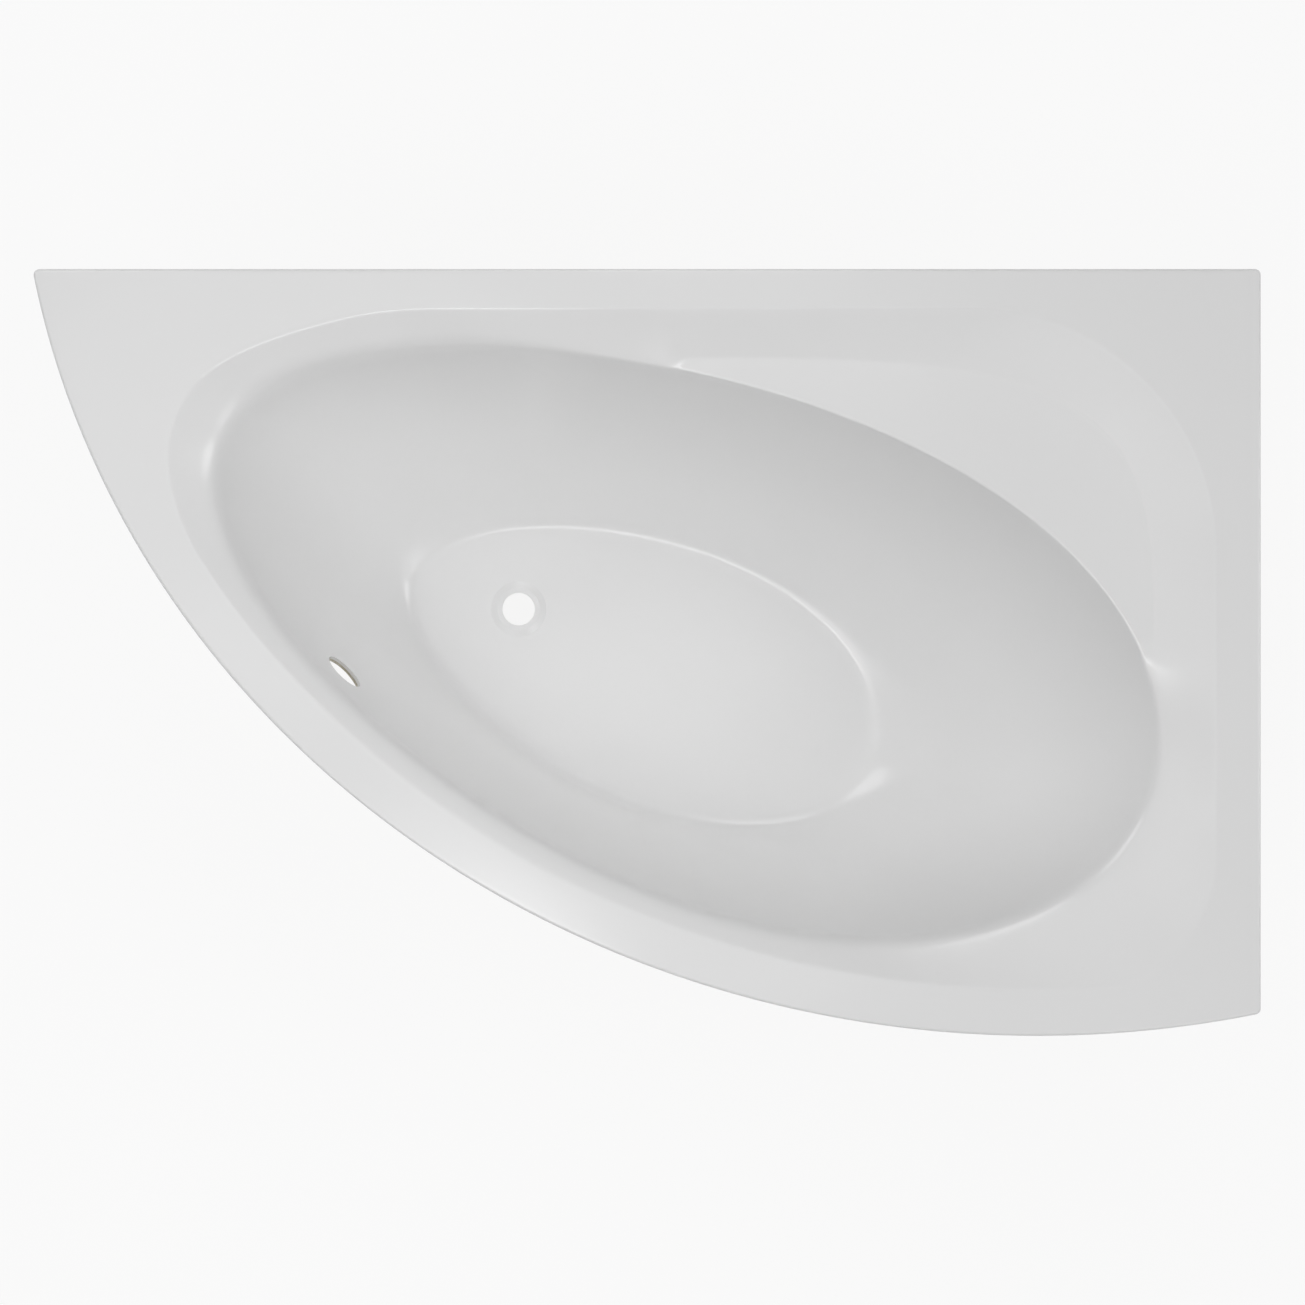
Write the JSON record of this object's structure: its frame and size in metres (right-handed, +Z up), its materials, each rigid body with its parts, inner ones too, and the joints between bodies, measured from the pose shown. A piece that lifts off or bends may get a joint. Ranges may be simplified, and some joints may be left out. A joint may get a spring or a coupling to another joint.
{
  "type": "corner bathtub",
  "caption": "Asymmetric acrylic corner bathtub with an egg-shaped basin, a corner ledge, a laminated back and a steel cradle on screw feet.",
  "frame": {"origin": "on the floor under the middle of the tub's box, with the feet at mid travel", "axes": "+Z up, +X along the back wall towards the side wall, +Y towards the back wall; the bow faces -Y"},
  "size_m": [1.6, 1, 0.6],
  "materials": {
    "acrylic": "glossy white sanitary acrylic",
    "laminate": "rough chopped-strand glass fibre and resin",
    "resin": "filled resin putty",
    "chipboard": "raw chipboard",
    "timber": "planed pine",
    "zinc_steel": "zinc plated steel",
    "pad_plastic": "moulded black polypropylene"
  },
  "bodies": {
    "tub": {"acrylic_shell": "acrylic", "glassfibre_laminate": "laminate", "bonding_bed": "resin", "base_board": "chipboard", "rim_batten_back": "timber", "rim_batten_side": "timber", "rim_batten_bow": "timber", "head_corner_block": "chipboard", "tip_block": "chipboard", "wall_brackets": "zinc_steel", "bracket_screws": "zinc_steel", "drain_end_rail": "zinc_steel", "head_end_rail": "zinc_steel", "rail_screws": "zinc_steel", "centre_foot_bracket": "zinc_steel", "centre_screws": "zinc_steel", "support_nuts": "zinc_steel", "lock_nuts": "zinc_steel"},
    "pad_1": {"foot_pad_1": "pad_plastic"},
    "stud_1": {"foot_stud_1": "zinc_steel"},
    "pad_2": {"foot_pad_2": "pad_plastic"},
    "stud_2": {"foot_stud_2": "zinc_steel"},
    "pad_3": {"foot_pad_3": "pad_plastic"},
    "stud_3": {"foot_stud_3": "zinc_steel"},
    "pad_4": {"foot_pad_4": "pad_plastic"},
    "stud_4": {"foot_stud_4": "zinc_steel"},
    "pad_5": {"foot_pad_5": "pad_plastic"},
    "stud_5": {"foot_stud_5": "zinc_steel"}
  },
  "joints": [
    {"name": "foot_1_travel", "type": "slide", "parent": "tub", "child": "pad_1", "axis": [0, 0, -1], "range_m": [-0.015, 0.025]},
    {"name": "foot_1_turn", "type": "hinge", "parent": "pad_1", "child": "stud_1", "pos_m": [-0.20444, -0.25903, 0.06], "axis": [0, 0, -1], "range_deg": [-3086, 5143]},
    {"name": "foot_2_travel", "type": "slide", "parent": "tub", "child": "pad_2", "axis": [0, 0, -1], "range_m": [-0.015, 0.025]},
    {"name": "foot_2_turn", "type": "hinge", "parent": "pad_2", "child": "stud_2", "pos_m": [0.00443, 0.27946, 0.06], "axis": [0, 0, -1], "range_deg": [-3086, 5143]},
    {"name": "foot_3_travel", "type": "slide", "parent": "tub", "child": "pad_3", "axis": [0, 0, -1], "range_m": [-0.015, 0.025]},
    {"name": "foot_3_turn", "type": "hinge", "parent": "pad_3", "child": "stud_3", "pos_m": [0.09018, -0.3733, 0.06], "axis": [0, 0, -1], "range_deg": [-3086, 5143]},
    {"name": "foot_4_travel", "type": "slide", "parent": "tub", "child": "pad_4", "axis": [0, 0, -1], "range_m": [-0.015, 0.025]},
    {"name": "foot_4_turn", "type": "hinge", "parent": "pad_4", "child": "stud_4", "pos_m": [0.29904, 0.16518, 0.06], "axis": [0, 0, -1], "range_deg": [-3086, 5143]},
    {"name": "foot_5_travel", "type": "slide", "parent": "tub", "child": "pad_5", "axis": [0, 0, -1], "range_m": [-0.015, 0.025]},
    {"name": "foot_5_turn", "type": "hinge", "parent": "pad_5", "child": "stud_5", "pos_m": [0.0473, -0.04692, 0.06], "axis": [0, 0, -1], "range_deg": [-3086, 5143]}
  ],
  "couplings": [
    {"joint": "foot_1_turn", "follows": "foot_1_travel", "rad_per_m": 3590.4},
    {"joint": "foot_2_turn", "follows": "foot_2_travel", "rad_per_m": 3590.4},
    {"joint": "foot_3_turn", "follows": "foot_3_travel", "rad_per_m": 3590.4},
    {"joint": "foot_4_turn", "follows": "foot_4_travel", "rad_per_m": 3590.4},
    {"joint": "foot_5_turn", "follows": "foot_5_travel", "rad_per_m": 3590.4}
  ]
}
